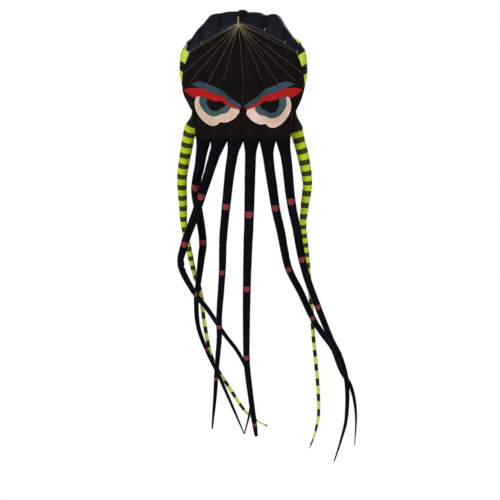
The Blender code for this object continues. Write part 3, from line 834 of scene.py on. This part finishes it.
# Layer (later ones cover earlier ones), finish, slot, flat size and area of the patches, and the
# outline of the left one: how far out from the middle and how far down
PATCHES = {
    "eye_white": (1, "cream", "cream_ripstop", (0.56, 0.38), 0.150, milli(
        (560, 930), (579, 1010), (574, 1076), (550, 1140), (482, 1230), (402, 1285),
        (355, 1292), (312, 1282), (276, 1248), (235, 1253), (186, 1248), (138, 1226),
        (96, 1198), (65, 1160), (43, 1125), (50, 1072), (200, 985), (380, 900))),
    "iris": (2, "teal", "teal_ripstop", (0.40, 0.26), 0.079, milli(
        (515, 900), (524, 1002), (509, 1055), (476, 1108), (434, 1151), (386, 1174),
        (340, 1180), (296, 1169), (265, 1153), (217, 1145), (175, 1118), (140, 1070),
        (210, 985), (380, 900))),
    "pupil": (3, "pupil", "black_ripstop", (0.24, 0.17), 0.0345, milli(
        (434, 920), (432, 1024), (413, 1072), (386, 1103), (355, 1114), (313, 1114),
        (276, 1092), (234, 1072), (205, 1035), (225, 975), (340, 925))),
    "brow_blue": (3, "blue", "blue_ripstop", (0.70, 0.20), 0.0455, milli(
        (630, 797), (582, 773), (518, 762), (460, 775), (402, 804), (329, 830), (270, 854),
        (217, 896), (149, 960), (65, 1013), (12, 1061), (28, 1080), (102, 1056), (185, 1020),
        (235, 950), (349, 910), (470, 862), (571, 820))),
    "brow_red": (4, "red", "red_ripstop", (0.74, 0.20), 0.0525, milli(
        (716, 857), (646, 839), (571, 839), (509, 846), (461, 854), (413, 881), (349, 905),
        (296, 923), (234, 934), (208, 976), (170, 1018), (102, 1050), (28, 1087), (43, 1100),
        (96, 1085), (170, 1061), (234, 1018), (254, 995), (313, 1000), (382, 986), (461, 955),
        (509, 936), (566, 949), (598, 958), (677, 899))),
}


def rounded(outline):
    """A closed outline made smooth, with its sharp points kept."""
    places = [Vector(place) for place in outline]
    after = places[1:] + places[:2]
    sharp = [abs((here - places[i - 1]).angle_signed(after[i] - here)) > SHARP_TURN
             for i, here in enumerate(places)]
    sharp.append(sharp[0])
    made = []
    for i, a in enumerate(places):
        b = after[i]
        made += bezier(a if sharp[i] else places[i - 1], a, b,
                       b if sharp[i + 1] else after[i + 1], 6)
    return made


def inside(place, loop):
    """True if the place is inside the closed loop."""
    found = False
    for a, b in zip(loop, loop[1:] + loop[:1]):
        if (a.y > place.y) != (b.y > place.y):
            if place.x < (b.x - a.x) * (place.y - a.y) / (b.y - a.y) + a.x:
                found = not found
    return found


def from_edge(place, loop):
    """How far a place is from the loop."""
    best = 1.0
    for a, b in zip(loop, loop[1:] + loop[:1]):
        run = b - a
        share = clamp((place - a).dot(run) / max(run.length_squared, 1e-12))
        best = min(best, (a + run * share - place).length)
    return best


def surface_tree(objects):
    points, faces = joined(
        ([vertex.co.copy() for vertex in piece.data.vertices],
         [tuple(face.vertices) for face in piece.data.polygons]) for piece in objects)
    return BVHTree.FromPolygons(points, faces)


def depth_on(tree, x, z):
    """The y of the cloth behind a place on the face, bridging the seam beside the belly."""
    for shift in (0.0, 0.004, -0.004, 0.008, -0.008, 0.014, -0.014):
        hit = tree.ray_cast(Vector((x + shift, RAY_START, z)), Vector((0, 1, 0)))[0]
        if hit and hit.y < DEEPEST:
            return hit.y
    return FACE_Y + 0.02


def places_in(loop, sign):
    """Places inside a loop, along lines that keep their distance from the ribs."""
    xs, zs = ([place[axis] for place in loop] for axis in (0, 1))
    found = []
    for j in range(int((max(zs) - min(zs)) / PATCH_STEP) + 1):
        z = min(zs) + j * PATCH_STEP
        row = [rib_x(i / 18, z) for i in range(-53, 54)]
        beyond = [copysign(0.62 + i * PATCH_STEP, -sign) for i in range(12)]
        row += [x for x in beyond if abs(x) > rib_x(2.97, z)]
        places = [Vector((x, z)) for x in row if min(xs) < x < max(xs)]
        found += [place for place in places
                  if inside(place, loop) and from_edge(place, loop) > RIM_ROOM]
    return found


def add_patches(tree):
    for part, (layer, finish, slot, flat_size, area, outline) in PATCHES.items():
        for side, sign in (("left", 1), ("right", -1)):
            drop = RIGHT_EYE_DROP if sign < 0 and "brow" not in part else 0.0
            loop = rounded([(-sign * out, -down - drop) for out, down in outline])
            rim = list(range(len(loop)))
            flat, _, faces, *_ = delaunay_2d_cdt(
                loop + places_in(loop, sign), list(zip(rim, rim[1:] + rim[:1])), [rim], 1, 1e-5)
            points = [Vector((place.x, depth_on(tree, *place) - layer * LAYER, place.y))
                      for place in flat]
            seam = [(from_edge(place, loop), 0.5 * (place.x + place.y)) for place in flat]
            a, b, c = (points[i] for i in faces[0][:3])
            if (b - a).cross(c - a).y > 0:
                faces = [face[::-1] for face in faces]
            patch = add_mesh(f"{part}_patch_{side}", points, faces, [finish],
                             {"Cloth": [tuple(place) for place in flat], "Seam": seam})
            sew(patch, f"{part}_{side}", slot, flat_size, area, PATCH_CLOTH)


# ---------------------------------------------------------------- tabs, knot and tow loop

def ribbon_path(points, half_width, thick):
    """A flat tape along points, as (points, faces): a closed box section."""
    made, across = [], Vector((half_width, 0, 0))
    for i, point in enumerate(points):
        run = points[min(i + 1, len(points) - 1)] - points[max(i - 1, 0)]
        up = run.cross(across).normalized() * thick / 2
        made += [point - across - up, point + across - up, point + across + up,
                 point - across + up]
    last = len(made) - 4
    ends = [(3, 2, 1, 0), (last, last + 1, last + 2, last + 3)]
    return made, grid_faces(4, len(points), wrap=True) + ends


def ball(centre, radius, sides=10, rows=6):
    """A lumpy ball, as (points, faces)."""
    points = []
    for i, turn in enumerate(circle(sides)):
        for k, up in enumerate(spread(0, pi, rows + 1)):
            lump = 1 + 0.12 * noise(Vector((i * 1.3, k * 1.7, centre.x * 31)))
            points.append(centre + radius * lump * Vector((
                sin(up) * cos(turn), sin(up) * sin(turn), cos(up))))
    return points, grid_faces(rows + 1, sides, closed=True)


def joined(parts):
    points, faces = [], []
    for more_points, more_faces in parts:
        start = len(points)
        points += more_points
        faces += [tuple(start + i for i in face) for face in more_faces]
    return points, faces


def add_plain(name, parts, material, slot, *nodes):
    return settle(add_mesh(name, *joined(parts), [material]), slot, *nodes)


def add_tabs(tree):
    """A loop of tape sewn on the rib where each bridle line ends, and the knot that ties it."""
    pale, dark, knots = [], [], []
    for _, name, u, _, _, tip in all_lines():
        x, y, z = tip
        base = depth_on(tree, x, z) if u is None or z < -0.43 else y + LINE_END_GAP
        loop = [(0.001, 0.022), (-0.001, 0.010)]
        for i in range(9):
            turn = pi * i / 8
            loop.append((lerp(-0.002, y - 0.002 - base, sin(turn)), 0.0055 * cos(turn)))
        loop += [(-0.001, -0.010), (0.001, -0.022)]
        part = ribbon_path([Vector((x, base + out, z + up)) for out, up in loop], 0.0045, 0.0009)
        (pale if name.startswith("nose") else dark).append(part)
        toward = (KNOT - tip).normalized()
        knots += [ball(tip + toward * 0.004, 0.0036), ball(tip + toward * 0.011, 0.0027)]
    add_plain("bridle_tabs_nose", pale, "tape", "bridle_cord")
    add_plain("bridle_tabs_belly", dark, "dark_tape", "black_ripstop")
    add_plain("bridle_line_knots", knots, "line", "bridle_cord")


def add_centre_tape():
    """The pale tape sewn down the middle of the face, from the centre line to the brows."""
    path = [skin_point(front_y, 0.0, place_at(0.0, z)) - Vector((0, CLOTH, 0))
            for z in spread(-0.668, -1.050, 40)]
    return add_plain("centre_seam_tape", [ribbon_path(path, 0.0032, 0.0006)],
                     "centre_tape", "black_ripstop")


def tube_along(path, radius, sides=10, closed=False):
    """A round tube along a path, as (points, faces)."""
    last = len(path) - 1
    rings = []
    normal = None
    for i, point in enumerate(path):
        before = path[i - 1] if closed or i else point
        after = path[(i + 1) % len(path)] if closed or i < last else point
        run = (after - before).normalized()
        normal = normal or run.orthogonal()
        normal = (normal - run * normal.dot(run)).normalized()
        side = run.cross(normal)
        rings.append([point + (normal * cos(turn) + side * sin(turn)) * radius
                      for turn in circle(sides)])
    return tube(rings, closed=closed)


def add_tow_point():
    # The knot: turns of the bridle's own cord wound round a core.
    along, side = (-KNOT).normalized(), Vector((1, 0, 0))
    front = along.cross(side)
    turns, steps = 6, 20
    wraps = []
    for share in spread(0, 1, turns * steps + 1):
        turn = 2 * pi * turns * share
        reach = 0.0092 * sqrt(max(0.08, 1 - (2 * share - 1) ** 2)) + 0.0012
        wraps.append(KNOT + along * lerp(-0.0150, 0.0150, share)
                     + (side * cos(turn) + front * sin(turn)) * reach)
    core = [KNOT + along * rise for rise in spread(-0.016, 0.016, 7)]
    cross = [KNOT + along * (0.0145 * sin(turn)) + side * (0.0105 * cos(turn))
             - front * (0.004 * abs(sin(turn)) + 0.0045) for turn in circle(24)]
    add_plain("bridle_knot_wraps", [
        tube_along(wraps, 0.0026), tube_along(core, 0.0070), tube_along(cross, 0.0022, 8, True),
    ], "knot", "tow_cord", "bridle_knot")

    # The tow loop: three strands twisted round each other along a slim ring.
    half_width, radius = 0.0055, 0.0025
    bottom = KNOT * (1 - 0.024 / KNOT.length) + along * (half_width + radius)
    top = along * (radius - half_width)
    ring = []
    for start, end, sign in ((bottom, top, half_width), (top, bottom, -half_width)):
        ring += [start.lerp(end, i / 14) + side * sign for i in range(14)]
        ring += [end + sign * (side * cos(turn) + along * sin(turn)) for turn in circle(12, pi)]
    fine = [a.lerp(b, k / 4) for a, b in zip(ring, ring[1:] + ring[:1]) for k in range(4)]
    twists = 30
    strands = []
    for strand in range(3):
        path = []
        for i, point in enumerate(fine):
            run = (fine[(i + 1) % len(fine)] - fine[i - 1]).normalized()
            normal = run.cross(front).normalized()
            turn = 2 * pi * (twists * i / len(fine) + strand / 3)
            path.append(point + (normal * cos(turn) + front * sin(turn)) * 0.0012)
        strands.append(tube_along(path, 0.0013, 7, True))
    add_plain("tow_loop_rope", strands, "tow", "tow_cord", "tow_loop")


# ---------------------------------------------------------------- legs

LEG_Y = 1.18
SIDE_LEG_Y = 1.375
LANE = 0.105
LANE_DEPTH = 1.5
SMOOTHING = 8
LEG_SIDES = 28
RING_STEP = 0.024
DOWN = Vector((0, 0, -1))
BAND_DIP = 0.22           # how far a band rises towards the sides, as a share of the radius
SHOULDER_TILT = 0.026     # how much higher the first bands stand on the outer side
SHOULDER_END = 0.4        # how far down that tilt is gone
FIRST_PITCH = 0.130       # length of a band and its gap above the first one in the lists below
LAST_PITCH = 0.180        # and past the last one
FLAT_FROM = 0.60          # the share of the length where a leg starts to flatten and to twist
TIP_FLATNESS = 0.50
BEND_REACH = 0.06         # how far each way a bend of the leg is measured
COLLAR = Vector((0.602, 1.348))        # x and y of the ring that closes a striped leg above
COLLAR_SIZE = Vector((0.026, 0.034))
COLLAR_END = 0.16
MOUTH_START = 0.014       # how far down the mouths of the black legs begin to part,
MOUTH_END = 0.194         # and how far down they reach
SPOT_COLUMNS, SPOT_ROWS = 13, 8
SPOT_TURN = radians(51)   # half of a spot's width round the leg
SPOT_RISE = 0.62          # how far its top stands above its place, and its height: shares of
SPOT_HEIGHT = 1.34        # the leg's radius
# Radius at each share of the length
BLACK_RADIUS = milli((0, 80), (30, 69), (110, 60), (220, 54), (430, 43.5), (680, 33), (900, 22),
                     (1000, 10))
MIDDLE_RADIUS = milli((0, 80), (30, 70), (110, 65), (220, 61), (430, 51), (680, 41), (900, 33),
                      (970, 28), (1000, 20))
CROSSED_RADIUS = milli((0, 80), (30, 69), (110, 59), (220, 51), (360, 46), (500, 33),
                       (660, 25.5), (900, 18), (1000, 8))
STRIPED_RADIUS = milli((0, 36), (28, 62), (55, 73), (100, 72), (200, 61), (330, 42),
                       (500, 28.5), (620, 23.5), (900, 19.5), (1000, 8))
# (mm below 0, number) of some of the bright bands: they are cut longer towards the tip.
BANDS_LEFT = ((1330, 0), (2096, 6), (2478, 9), (2833, 12), (3054, 14), (3311, 16), (3660, 18),
              (4000, 20), (4322, 22), (4589, 24), (4864, 26))
BANDS_RIGHT = ((1405, 0), (1807, 3), (1935, 4), (2036, 5), (2182, 6), (2455, 8), (2674, 10),
               (2900, 12), (3620, 17), (3940, 19), (4280, 21), (5010, 25))
# Root y, lane, radius, knee and ankle (as route points), the bands or how many mm below 0 the
# spots are, the twist of the tip in degrees, and the route in mm: (x, depth below 0)
LEGS = {
    "striped_leg_left": (SIDE_LEG_Y, 3.5, STRIPED_RADIUS, 6, 10, BANDS_LEFT, 20, milli(
        (-628, 1150), (-660, 1355), (-725, 1705), (-755, 1945), (-745, 2255), (-730, 2495),
        (-665, 2830), (-610, 3060), (-535, 3300), (-490, 3650), (-420, 4010), (-335, 4210),
        (-205, 4415), (-10, 4705), (145, 4835), (270, 4900))),
    "black_leg_1": (LEG_Y, 2.5, CROSSED_RADIUS, 6, 10, (2030, 2690, 3320, 3980), 30, milli(
        (-485, 1475), (-525, 1740), (-575, 1990), (-580, 2135), (-535, 2400), (-500, 2690),
        (-520, 2880), (-555, 3170), (-580, 3400), (-557, 3705), (-450, 4000), (-325, 4260),
        (-180, 4585), (-5, 4990))),
    "black_leg_2": (LEG_Y, -0.5, CROSSED_RADIUS, 5, 9, (2150, 2720, 3320), -35, milli(
        (-297, 1475), (-395, 1800), (-490, 2100), (-600, 2425), (-705, 2715), (-745, 2975),
        (-600, 3275), (-420, 3505), (-235, 3780), (-55, 4020), (65, 4285), (95, 4585),
        (70, 4775), (15, 4990))),
    "black_leg_3": (LEG_Y, -3.5, BLACK_RADIUS, 4, 7, (2280, 3060, 3710, 4330), 15, milli(
        (-103, 1475), (-155, 1850), (-195, 2280), (-225, 2665), (-235, 3060), (-270, 3565),
        (-270, 3840), (-300, 4200), (-320, 4525), (-355, 4925))),
    "black_leg_4": (LEG_Y, -2.5, MIDDLE_RADIUS, 3, 6, (2370, 3255, 4080, 4885), -10, milli(
        (90, 1475), (85, 1945), (80, 2370), (65, 2845), (55, 3255), (50, 3745), (55, 4130),
        (100, 4525), (150, 4885), (170, 5015))),
    "black_leg_5": (LEG_Y, 0.5, BLACK_RADIUS, 6, 10, (2280, 3020, 3605), 70, milli(
        (283, 1475), (310, 1765), (350, 2040), (390, 2305), (445, 2545), (490, 2785),
        (550, 3025), (685, 3290), (830, 3600), (925, 3755), (1075, 3970), (1175, 4230),
        (1295, 4440), (1350, 4750), (1335, 5125))),
    "black_leg_6": (LEG_Y, -1.5, BLACK_RADIUS, 4, 7, (2210, 2900, 3470), 45, milli(
        (485, 1475), (535, 1825), (580, 2210), (650, 2545), (715, 2905), (795, 3180),
        (905, 3470), (1060, 3850), (1170, 4070), (1250, 4380), (1245, 4790), (1180, 5065),
        (1100, 5315))),
    "striped_leg_right": (SIDE_LEG_Y, 1.5, STRIPED_RADIUS, 6, 10, BANDS_RIGHT, -25, milli(
        (628, 1150), (645, 1390), (720, 1705), (760, 1990), (730, 2255), (710, 2495),
        (745, 2785), (775, 3085), (810, 3445), (830, 3790), (860, 4105), (890, 4460),
        (895, 4765), (845, 5010), (785, 5165))),
}


class Leg:
    """The centre line of a leg and the surface round it."""

    def __init__(self, name, root_y, lane, profile, knee, ankle, marks, twist, route):
        self.profile, self.twist = profile, radians(twist)
        self.seed, self.outward = route[0][0] * 10, copysign(1.0, route[0][0])
        places = []
        for x, depth in route:
            share = sin(pi / 2 * min(1.0, (depth - route[0][1]) / LANE_DEPTH))
            places.append(Vector((x, lerp(root_y, LEG_Y + lane * LANE, share), -depth)))
        self.line = []
        ends = [places[0], *places, places[-1]]
        for before, a, b, after in zip(ends, places, places[1:], ends[3:]):
            self.line += bezier(before, a, b, after, SMOOTHING)
        self.line.append(places[-1])
        self.far = list(accumulate(
            ((b - a).length for a, b in zip(self.line, self.line[1:])), initial=0.0))
        self.length = self.far[-1]
        self.knee, self.ankle = self.far[knee * SMOOTHING], self.far[ankle * SMOOTHING]
        depths = [(-point.z, far) for point, far in zip(self.line, self.far)]
        self.black = name.startswith("black")
        if self.black:
            self.spots = [from_table(depths, depth / 1000) for depth in marks]
            low, high = (rib_x(int(name[-1]) + u, HEAD_BOTTOM) for u in (-4, -3))
            self.mouth = ((low + high) / 2, FACE_Y + TAIL_THICKNESS / 2)
            self.mouth_size = ((high - low) / 2 + 0.0002, TAIL_THICKNESS / 2 - 0.001)
        else:
            self.bands = [(from_table(depths, depth / 1000), count) for depth, count in marks]

    def at(self, far):
        """(point, direction) at a distance along the leg, which goes on straight above its root."""
        if far <= 0:
            return self.line[0] + DOWN * far, DOWN
        last = len(self.line) - 1
        i = min(bisect_left(self.far, far, 1), last) - 1
        share = clamp((far - self.far[i]) / (self.far[i + 1] - self.far[i]))
        a, b = self.line[i], self.line[i + 1]
        run = (self.line[min(i + 2, last)] - self.line[max(i - 1, 0)]).normalized()
        return a.lerp(b, share), run.lerp((b - a).normalized(), 0.3).normalized()

    def radius(self, far):
        return from_smooth_table(self.profile, clamp(far / self.length))

    def band_place(self, far, turn):
        """(above 0 where the bands are, count): the bright cloth starts at each whole count."""
        tilt = SHOULDER_TILT * (1 - smooth(far / SHOULDER_END))
        far += BAND_DIP * self.radius(far) * (1 + cos(turn)) + tilt * self.outward * sin(turn)
        (first, low), (last, high) = self.bands[0], self.bands[-1]
        if far < first:
            count = low + (far - first) / FIRST_PITCH
        elif far > last:
            count = high + (far - last) / LAST_PITCH
        else:
            count = from_table(self.bands, far)
        return count + 0.35, count + BAND_SHARE / 2 + 8

    def surface(self, far, turn, out=0.0):
        """A point of the cloth. turn is 0 at the back, a quarter turn at +X and pi at the front."""
        centre, run = self.at(far)
        run = DOWN.lerp(run, smooth(far / 0.18)).normalized()
        radius, below_root = self.radius(far), self.line[0].z - far
        late = smooth((far / self.length - FLAT_FROM) / (1 - FLAT_FROM))
        side = run.cross(Vector((0, 1, 0))).normalized()
        depth = side.cross(run)
        sine, cosine = sin(turn), cos(turn)
        away = side * sine + depth * cosine
        # The leg gets flatter towards its tip, and the flat end twists.
        local = Vector((radius * sine, radius * lerp(1.0, TIP_FLATNESS, late) * cosine))
        local = Matrix.Rotation(-self.twist * late, 2) @ local
        # Slack cloth, pleats below the cell's mouth, and creases on the inside of a bend
        relief = 0
        for deep, fine, along in ((0.045, 1.3, 6.0), (0.012, 3.0, 26.0)):
            relief += deep * radius * noise(Vector((sine * fine, cosine * fine + self.seed,
                                                    far * along)))
        if self.black:
            relief += 0.0022 * cos(7 * turn) * exp(-max(far, 0.0) / 0.16)
        bend = self.at(far + BEND_REACH)[1] - self.at(max(far - BEND_REACH, 0.001))[1]
        if bend.length > 0.02:
            inner = max(0.0, away.dot(bend.normalized()))
            wave = 0.5 + 0.5 * sin(2 * pi * far / (0.012 + 0.45 * radius))
            relief -= 0.30 * radius * min(1.0, 2.2 * bend.length) * inner * wave * wave
        if not self.black and centre.x * sine < 0:
            # The shoulder is cut wide on its inner side, up against the back of the head.
            local.x *= 1 + 0.45 * smooth(far / 0.05) * (1 - smooth((far - 0.16) / 0.14))
        point = centre + side * local.x + depth * local.y + away * (relief + out)
        if not self.black and far < COLLAR_END:
            collar = Vector((copysign(COLLAR.x, centre.x) + COLLAR_SIZE.x * sine,
                             COLLAR.y + COLLAR_SIZE.y * cosine, below_root))
            point = point.lerp(collar, smooth((COLLAR_END - far) / 0.20))
        if self.black and far < MOUTH_END:
            # The mouths are sewn side by side at first, and part in narrow arches below.
            square = Vector([
                middle + size * copysign(abs(wave) ** 0.42, wave)
                for middle, size, wave in zip(self.mouth, self.mouth_size, (sine, cosine))
            ] + [below_root])
            share = clamp((far - MOUTH_START) / (MOUTH_END - MOUTH_START))
            point = square.lerp(point, sin(pi / 2 * share) ** 0.62)
        return point

    def spot(self, far, scale, out):
        """Points of a patch on the front, straight along its top and round below, and its cloth."""
        radius = self.radius(far)
        drop = SPOT_HEIGHT * radius * (0.5 + 0.5 * scale)
        points, cloth = [], []
        for j in range(SPOT_ROWS):
            for i, across in enumerate(spread(-1, 1, SPOT_COLUMNS)):
                deep = max(0.06, 1 - abs(across) ** 2.4) ** 0.5
                here = far - SPOT_RISE * radius + drop * deep * j / (SPOT_ROWS - 1)
                turn = pi - across * SPOT_TURN * scale
                rim = i in (0, SPOT_COLUMNS - 1) or j in (0, SPOT_ROWS - 1)
                points.append(self.surface(here, turn, out * 0.35 if rim else out))
                cloth.append((turn * radius, here))
        return points, cloth

    def piece(self, name, start, end, close_start, close_end):
        """One sewn length of the leg from start to end, with its spots."""
        rings = max(4, int((end - start) / RING_STEP))
        stations = [(far, 1.0) for far in spread(start, end, rings + 1)]
        if close_start:
            stations = [(start, share) for share in (0.25, 0.6, 0.85)] + stations
        if close_end:
            stations += [(end, share) for share in (0.8, 0.45)]
        rings, cloth, band = [], [], []
        for far, share in stations:
            centre, run = self.at(far)
            push = (1 - share) * (0.6 if far == end else -0.6) * self.radius(far) * run
            rings.append([centre.lerp(self.surface(far, turn), share) + push
                          for turn in circle(LEG_SIDES)])
        points, faces = tube(rings)
        girth = 2 * pi * self.radius((start + end) / 2)
        for (above, _), (below, _) in zip(stations, stations[1:]):
            for i in range(LEG_SIDES):
                for far, step in ((above, i), (above, i + 1), (below, i + 1), (below, i)):
                    share = step / LEG_SIDES
                    cloth.append((share * girth, far))
                    if not self.black:
                        band.append(self.band_place(far, 2 * pi * share))
        cloth += ([(0.0, start)] * 3 + [(0.0, end)] * 3) * LEG_SIDES
        indices = [0] * len(faces)
        layers = {"Cloth": cloth}
        if not self.black:
            layers["Band"] = band + [(0.0, 0.0)] * 6 * LEG_SIDES
        for far in self.spots if self.black else ():
            for scale, out, index in ((1.0, 0.0012, 1), (0.84, 0.0022, 2)):
                if start < far <= end:
                    more, places = self.spot(far, scale, out)
                    patch = grid_faces(SPOT_COLUMNS, SPOT_ROWS, True)
                    points, faces = joined([(points, faces), (more, patch)])
                    cloth += corners(patch, places)
                    indices += [index] * len(patch)
        made = add_mesh(name, points, faces, ["leg", "spot_rim", "spot"] if self.black
                        else ["striped"], layers, indices)
        # The ends inside the leg must not bend the shading of its cloth.
        last = (len(rings) - 1) * LEG_SIDES
        rims = [set(range(first, first + LEG_SIDES)) for first in (0, last)]
        sharp = [any(rim.issuperset(edge.vertices) for rim in rims) for edge in made.data.edges]
        made.data.attributes.new("sharp_edge", "BOOLEAN", "EDGE").data.foreach_set("value", sharp)
        return made


def add_legs():
    for name, facts in LEGS.items():
        leg = Leg(name, *facts)
        upper_split, lower_split = 0.55 * leg.knee, (leg.knee + leg.ankle) / 2
        start = -0.026 if leg.black else -0.045
        # Piece, its ends, the CAD length, the hinge above it, and two reaches each way from the
        # hinge, where the leg's points are found
        lengths = (
            ("root", start, upper_split, "upper", 0.0, 0.12, 0.02),
            ("knee", upper_split, lower_split, "middle", leg.knee, 0.11, 0.11),
            ("tip", lower_split, leg.length, "tip", leg.ankle, 0.10, 0.10),
        )
        for part, low, high, segment, hinge, reach, back in lengths:
            piece = leg.piece(f"{name}_cloth_{part}", low, high,
                              part == "root" and not leg.black, part == "tip")
            body = f"{name}_{segment}"
            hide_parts(body)
            tuple(leg.at(hinge - back)[0])
            tuple(leg.at(hinge + reach)[0])
            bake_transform(piece)


# ---------------------------------------------------------------- the floor and the ribs

def add_floor():
    low = CAD_BOX[0][2] - 0.85
    points = [Vector((7.5 * cos(turn), 1 + 7.5 * sin(turn), low)) for turn in circle(96)]
    faces = [(0, 1 + i, 1 + (i + 1) % 96) for i in range(96)]
    add_mesh("studio_floor", [Vector((0, 1, low))] + points, faces, ["floor"])


def dress_ribs():
    """The ribs keep their CAD shape and take the cloth of the head."""
    for name in RIBS:
        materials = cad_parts[name].data.materials
        materials.clear()
        materials.append(MATERIALS["rib"])


add_camera()
add_bridle()
add_lights()
side_cells = add_side_cells()
belly_cloth = add_head_skins(surface_tree(side_cells))
add_side_walls()
face_tree = surface_tree([belly_cloth, *side_cells])
add_patches(face_tree)
add_tabs(face_tree)
add_tow_point()
add_legs()
dress_ribs()
add_floor()
